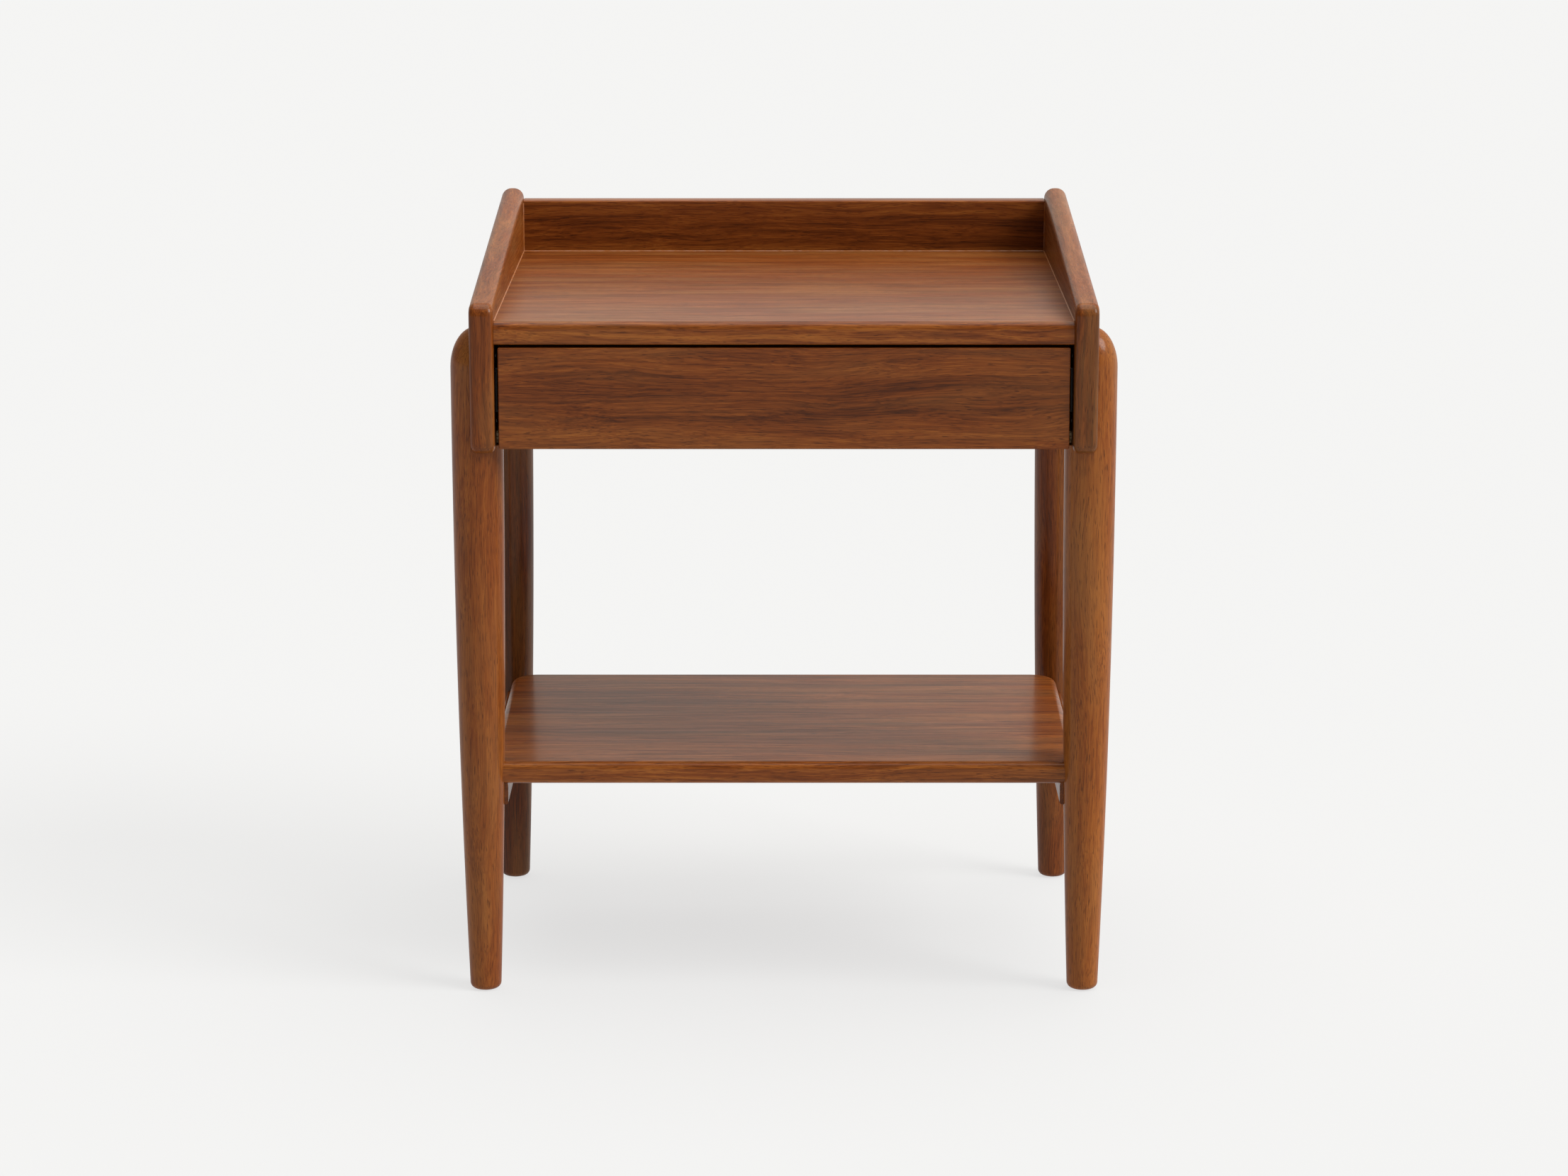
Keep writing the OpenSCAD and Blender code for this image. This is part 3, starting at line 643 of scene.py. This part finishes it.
class TABLE_OT_back_board(bpy.types.Operator):
    """The board that closes the case and rises into a low gallery"""

    bl_idname = "table.back_board"
    bl_label = "Back board"

    def execute(self, context):
        sizes = context.scene.table_sizes
        low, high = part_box("back_board")
        piece = block("back_board_gallery", low, high)
        round_edges(piece, sizes.gallery_edge, 5,
                    lambda e: lies(e, Z, high.z) and lies(e, Y, low.y, high.y))
        round_edges(piece, sizes.gallery_edge / 2, 3,
                    lambda e: lies(e, Z, low.z) and lies(e, Y, low.y, high.y))
        round_edges(piece, sizes.joint_ease, 3, lambda e: lies(e, X, low.x, high.x))
        wood = walnut("Lacquered walnut, gallery", X, 2, tone=0.05, depth=1.3, ochre=0.0)
        settle(piece, "table", "walnut_case", [wood], "back_board")
        return {"FINISHED"}


class TABLE_OT_highlight_beads(bpy.types.Operator):
    """Thin pale beads where the tray's boards meet: their paleness is a painted highlight along the
    joints, and their slope catches real light
    """

    bl_idname = "table.lacquer_beads"
    bl_label = "Highlight beads"

    def execute(self, context):
        sizes = context.scene.table_sizes
        width = sizes.bead
        top_low, top_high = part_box("tabletop")
        gallery_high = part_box("back_board")[1]
        left, floor, back = top_low.x, top_high.z, top_high.y
        beads = []
        # Along the gallery, along a panel and up the gallery's end, each cut to a slope
        for low, high, axis in (
                ((left, back - width, floor), (-left, back, floor + width), X),
                ((left, top_low.y + sizes.top_nose, floor), (left + width, back, floor + width), Y),
                ((left, back - width, floor),
                 (left + width, back, gallery_high.z - sizes.gallery_edge), Z)):
            bead = block("bead", low, high)
            # Short of the whole width, so that no face of the bead shrinks to nothing
            round_edges(bead, 0.98 * width, 1, lambda e: along(e, axis) and all(
                i == axis or abs(e.verts[0].co[i] - (low[i] if i == Y else high[i])) < SAME
                for i in (X, Y, Z)))
            beads.append(bead)
            if axis != X:
                beads.append(twin(bead, "bead", mirrored=True))
        # The pale beads paint highlight lines along the joints
        settle(joined(beads, "tray_corner_highlight_beads"), "table", "walnut_case",
               [lacquer("Pale satin bead, painted highlight")])
        return {"FINISHED"}


class TABLE_OT_legs(bpy.types.Operator):
    """Four turned legs that taper to the foot and end in a dome"""

    bl_idname = "table.legs"
    bl_label = "Legs"

    def execute(self, context):
        sizes = context.scene.table_sizes
        low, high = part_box("front_right_leg")
        rear_low, rear_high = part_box("rear_right_leg")
        pads_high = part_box("foot_pads")[1]
        radius = (high.y - low.y) / 2
        centre = Vector((high.x - radius, (low.y + high.y) / 2, 0))
        dome_z = high.z - sizes.dome
        foot_z = low.z + sizes.foot_edge
        swell = dome_z - sizes.belly - foot_z
        # A shallow bore takes the felt pad
        bore = pads_high.x - centre.x
        profile = [(0, pads_high.z), (bore, pads_high.z), (bore, low.z)]
        profile += arc((sizes.foot - sizes.foot_edge, foot_z), sizes.foot_edge, -90, 8)
        for i in range(1, TAPER_RINGS + 1):
            rise = swell * i / TAPER_RINGS
            share = rise / (dome_z - sizes.belly)
            profile.append((sizes.foot + (radius - sizes.foot)
                            * (1 - (1 - share) ** sizes.taper), foot_z + rise))
        for i in range(DOME_RINGS):
            angle = math.radians(90 * i / DOME_RINGS)
            profile.append((radius * math.cos(angle), dome_z + sizes.dome * math.sin(angle)))
        profile.append((0, high.z))
        front = turned("leg_front_right", profile, centre, 96)
        rear = twin(front, "leg_rear_right", move=(rear_high.x - high.x, rear_low.y - low.y, 0))
        # The notch starts where the panel's rounded lower rim ends, so the leg backs the rim
        panel_low, panel_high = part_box("right_side_panel")
        for leg in (front, rear):
            cut(leg, block("notch",
                           (panel_low.x - radius, panel_low.y, panel_low.z + sizes.panel_edge),
                           (panel_high.x, panel_high.y, high.z + MM)))
        legs = {
            "front_right": front, "rear_right": rear,
            "front_left": twin(front, "leg_front_left", mirrored=True),
            "rear_left": twin(rear, "leg_rear_left", mirrored=True),
        }
        # Painted light and shade in the legs' tones: the rear legs darker as painted shadow under
        # the case, the rear left darkest, the front right lighter as painted light from the right
        tones = {"front_right": 0.22, "rear_right": -0.02, "front_left": 0.13, "rear_left": -0.22}
        for seed, (place, piece) in enumerate(legs.items()):
            wood = walnut(f"Lacquered walnut, {place.replace('_', ' ')} leg", Z, 21 + seed,
                          tone=tones[place], depth=0.55, ochre=0.25)
            settle(piece, "table", "walnut_legs", [wood], f"{place}_leg")
        return {"FINISHED"}


class TABLE_OT_shelf(bpy.types.Operator):
    """The low shelf, with rounded rims and corners, on its two rails"""

    bl_idname = "table.shelf"
    bl_label = "Shelf and rails"

    def execute(self, context):
        sizes = context.scene.table_sizes
        low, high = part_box("shelf")
        piece = block("shelf_board", low, high)
        round_edges(piece, sizes.shelf_back, 14, lambda e: along(e, Z) and lies(e, Y, high.y))
        round_edges(piece, sizes.shelf_front, 8, lambda e: along(e, Z) and lies(e, Y, low.y))
        round_edges(piece, sizes.shelf_edge, 8, lambda e: lies(e, Z, low.z, high.z))
        wood = walnut("Lacquered walnut, shelf", X, 7, tone=0.0, depth=1.1, ochre=0.15)
        # The nose's lighter tone is a painted highlight on the rounded front edge
        nose = walnut("Lacquered walnut, shelf nose, painted highlight", X, 32, tone=0.15, depth=1.6)
        settle(piece, "table", "walnut_case", [wood, nose], "shelf")
        show_end(piece, low.y + NOSE_HIGHLIGHT_SHARE * sizes.shelf_edge)

        low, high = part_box("right_shelf_rail")
        right = block("shelf_rail_right", low, high)
        round_edges(right, sizes.rail_edge, 4, lambda e: along(e, Y))
        left = twin(right, "shelf_rail_left", mirrored=True)
        for rail, side, seed in ((left, "left", 8), (right, "right", 9)):
            wood = walnut(f"Lacquered walnut, {side} shelf rail", Y, seed, tone=-0.04)
            settle(rail, "table", "walnut_case", [wood], f"{side}_shelf_rail")
        return {"FINISHED"}


class TABLE_OT_drawer_face(bpy.types.Operator):
    """The drawer's plain front, pulled by its lower edge"""

    bl_idname = "table.drawer_face"
    bl_label = "Drawer face"

    def execute(self, context):
        sizes = context.scene.table_sizes
        low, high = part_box("drawer_face")
        piece = block("drawer_front_board", low, high)
        round_edges(piece, sizes.drawer_edge, 4, lambda e: True)
        wood = walnut("Lacquered walnut, drawer face", X, 4, wander_mm=7.5)
        settle(piece, "drawer", "walnut_drawer", [wood], "drawer_face")
        return {"FINISHED"}


def screw(name, head_r, head_t, shank_r, length):
    """A wood screw along +Z, its head at the bottom with a cross recess."""
    rim = 0.3 * MM
    profile = [(0, 0), (head_r - 2 * rim, 0), (head_r - rim / 2, rim / 2), (head_r, rim * 1.5),
               (head_r, head_t), (shank_r, head_t), (shank_r, length - 3 * shank_r),
               (0.1 * shank_r, length), (0, length)]
    piece = turned(name, profile, (0, 0, 0), 24)
    arm, half = 0.55 * head_r, 0.12 * head_r
    depth = min(1.1 * MM, 0.7 * head_t)
    cut(piece, block("slot_a", (-arm, -half, -depth), (arm, half, depth)))
    cut(piece, block("slot_b", (-half, -arm, -depth), (half, arm, depth)))
    return piece


class TABLE_OT_screws(bpy.types.Operator):
    """Every wood screw, with its cross recess"""

    bl_idname = "table.screws"
    bl_label = "Screws"

    def execute(self, context):
        steel = zinc_steel("Zinc-plated screw steel", 0.28)
        # Name, body, axis of the screws, where the head is (1 high, -1 low, 0 towards the
        # middle of the table, 2 away from it), and the head's thickness
        groups = (
            ("drawer_face_screws", "drawer", Y, 1, 2 * MM),
            ("drawer_slide_screws", "drawer", X, 2, 1 * MM),
            ("cabinet_slide_screws", "table", X, 0, 1 * MM),
            ("shelf_screws", "table", Z, -1, 2 * MM),
        )
        for node, body, axis, head, head_t in groups:
            boxes = islands(node)
            size = boxes[0][1] - boxes[0][0]
            head_r = max(size[i] for i in (X, Y, Z) if i != axis) / 2
            first = screw(node, head_r, head_t, SHANK_R, size[axis])
            copies = []
            for low, high in boxes:
                centre = (low + high) / 2
                side = 1 if centre.x > 0 else -1
                end = {1: 1, -1: -1, 0: -side, 2: side}[head]
                copy = twin(first, node)
                start = centre.copy()
                start[axis] = high[axis] if end > 0 else low[axis]
                into = Vector([0, 0, 0])
                into[axis] = -end
                copy.rotation_euler = Vector((0, 0, 1)).rotation_difference(into).to_euler()
                copy.location = start
                only(copy)
                bpy.ops.object.transform_apply(location=True, rotation=True, scale=True)
                copies.append(copy)
            bpy.data.objects.remove(first)
            whole = joined(copies, f"{node}_set")
            settle(whole, body, "zinc_steel", [steel], node)
        return {"FINISHED"}


class TABLE_OT_foot_pads(bpy.types.Operator):
    """Felt pads under the feet"""

    bl_idname = "table.foot_pads"
    bl_label = "Foot pads"

    def execute(self, context):
        wool = felt("Pressed wool felt")
        pads = []
        for low, high in islands("foot_pads"):
            centre, radius = (low + high) / 2, (high.x - low.x) / 2
            profile = [(0, low.z), (radius - 0.3 * MM, low.z), (radius, low.z + 0.3 * MM),
                       (radius, high.z - 0.3 * MM), (radius - 0.3 * MM, high.z), (0, high.z)]
            pads.append(turned("pad", profile, (centre.x, centre.y, 0), 48))
        settle(joined(pads, "felt_foot_pads"), "table", "dark_felt", [wool], "foot_pads")
        return {"FINISHED"}


class TABLE_OT_frame_finishes(bpy.types.Operator):
    """Eases the edges of the pieces that stay as designed, and finishes them"""

    bl_idname = "table.frame_finishes"
    bl_label = "Drawer box, slides and fixings"

    def execute(self, context):
        box_x = pale_hardwood("Oiled beech, box front and back", X, 1)
        box_y = pale_hardwood("Oiled beech, box sides", Y, 2)
        steel = zinc_steel("Zinc-plated fixing steel", 0.33)
        black_coat_and_gap_shade = black_steel("Black-coated slide steel, painted gap shade")
        ply = plywood("Birch plywood")
        dowel = pale_hardwood("Fluted beech dowel", Z, 3)
        finishes = {
            "drawer_box_front": (box_x, 0.4), "drawer_box_back": (box_x, 0.4),
            "drawer_left_side": (box_y, 0.4), "drawer_right_side": (box_y, 0.4),
            "drawer_bottom": (ply, 0.2), "case_bottom": (ply, 0.3),
            "top_dowels": (dowel, 0.5), "back_dowels": (dowel, 0.5),
            "rail_dowels": (dowel, 0.5),
            "leg_bolts": (steel, 0.2), "leg_inserts": (steel, 0.2),
        }
        for side in ("left", "right"):
            for member in ("cabinet_member", "middle_member", "drawer_member"):
                # Black: partly the slides' own coat, partly painted shade in the drawer's side gaps
                finishes[f"{side}_slide_{member}"] = (black_coat_and_gap_shade, 0.15)
            for cage in ("outer_cage", "inner_cage"):
                finishes[f"{side}_slide_{cage}"] = (steel, 0.05)
        for name, (material, ease_mm) in finishes.items():
            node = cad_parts[name]
            node.data.materials.clear()
            node.data.materials.append(material)
            only(node)
            weld = node.modifiers.new("Weld", "WELD")
            weld.merge_threshold = SAME
            ease = node.modifiers.new("Eased edges", "BEVEL")
            ease.limit_method, ease.angle_limit = "ANGLE", math.radians(40)
            ease.width, ease.segments, ease.use_clamp_overlap = ease_mm * MM, 2, True
            ease.harden_normals = True
        return {"FINISHED"}


class TABLE_OT_stage(bpy.types.Operator):
    """Pale floor, bright soft surroundings, two wide lights and the camera"""

    bl_idname = "table.stage"
    bl_label = "Stage"

    def execute(self, context):
        scene = context.scene
        bpy.ops.object.select_all(action="DESELECT")
        bpy.ops.mesh.primitive_plane_add(size=80)
        floor = context.object
        floor.name = "studio_floor"
        material, tree = new_material("Matt pale floor paint")
        # Part of the brightness is its own, so that shadows stay as faint as in a white studio
        surface(tree, {
            "Base Color": scene.table_colours.floor_paint, "Roughness": 1.0,
            "Specular IOR Level": 0.0, "Emission Color": scene.table_colours.floor,
            "Emission Strength": 0.75})
        floor.data.materials.append(material)

        world = bpy.data.worlds.new("White studio")
        world.use_nodes = True
        tree = world.node_tree
        tree.nodes.clear()
        # Brightest behind the table and to its right
        side = add_node(tree, "ShaderNodeVectorMath", {"operation": "DOT_PRODUCT"}, {
            0: (add_node(tree, "ShaderNodeTexCoord"), "Generated"), 1: [0.55, 0.6, 0.0]})
        level = add_node(tree, "ShaderNodeMapRange", None, {
            "Value": (side, "Value"), "From Min": -0.8, "From Max": 0.8,
            "To Min": 0.1, "To Max": 1.0})
        glow = add_node(tree, "ShaderNodeBackground", None, {
            "Color": scene.table_colours.walls, "Strength": level})
        add_node(tree, "ShaderNodeOutputWorld", None, {"Surface": glow})
        scene.world = world

        # Name, direction it shines from, energy and apparent size in degrees
        for name, source, energy, spread in (
                ("overhead_softbox", (0.1, 0.1, 1.0), 2.0, 60),
                ("front_right_softbox", (1.0, -0.42, 0.9), 2.6, 30)):
            bpy.ops.object.light_add(type="SUN", location=Vector(source) * 3)
            light = context.object
            light.name = name
            light.data.energy, light.data.angle = energy, math.radians(spread)
            light.rotation_euler = Vector(source).to_track_quat("Z", "Y").to_euler()

        bpy.ops.object.camera_add(location=CAMERA_PLACE,
                                  rotation=(math.radians(90 - CAMERA_PITCH), 0, 0))
        camera = context.object
        camera.data.sensor_width = CAMERA_SENSOR
        camera.data.lens = CAMERA_LENS
        camera.data.clip_end = 200
        scene.camera = camera
        scene.view_settings.view_transform = "Standard"
        return {"FINISHED"}


STEPS = (
    TABLE_OT_side_panels, TABLE_OT_tabletop, TABLE_OT_back_board, TABLE_OT_highlight_beads,
    TABLE_OT_legs, TABLE_OT_shelf, TABLE_OT_drawer_face, TABLE_OT_screws, TABLE_OT_foot_pads,
    TABLE_OT_frame_finishes, TABLE_OT_stage,
)


class TABLE_PT_sidebar(bpy.types.Panel):
    """Lists the table's pieces, sizes and colours"""

    bl_idname = "TABLE_PT_sidebar"
    bl_label = "Side table"
    bl_space_type = "VIEW_3D"
    bl_region_type = "UI"
    bl_category = "Side table"

    def draw(self, context):
        for step in STEPS:
            self.layout.operator(step.bl_idname)
        for group in (context.scene.table_sizes, context.scene.table_colours):
            column = self.layout.column()
            for name in group.__annotations__:
                column.prop(group, name)


CLASSES = (TableSizes, TableColours) + STEPS + (TABLE_PT_sidebar,)


def register():
    """Adds the add-on's classes and the scene's settings."""
    for cls in CLASSES:
        bpy.utils.register_class(cls)
    bpy.types.Scene.table_sizes = bpy.props.PointerProperty(type=TableSizes)
    bpy.types.Scene.table_colours = bpy.props.PointerProperty(type=TableColours)


def unregister():
    """Takes them away again."""
    del bpy.types.Scene.table_sizes
    del bpy.types.Scene.table_colours
    for cls in reversed(CLASSES):
        bpy.utils.unregister_class(cls)


def main():
    """Makes every piece in order."""
    register()
    bpy.ops.table.side_panels()
    bpy.ops.table.tabletop()
    bpy.ops.table.back_board()
    bpy.ops.table.lacquer_beads()
    bpy.ops.table.legs()
    bpy.ops.table.shelf()
    bpy.ops.table.drawer_face()
    bpy.ops.table.screws()
    bpy.ops.table.foot_pads()
    bpy.ops.table.frame_finishes()
    bpy.ops.table.stage()


if __name__ == "__main__":
    main()
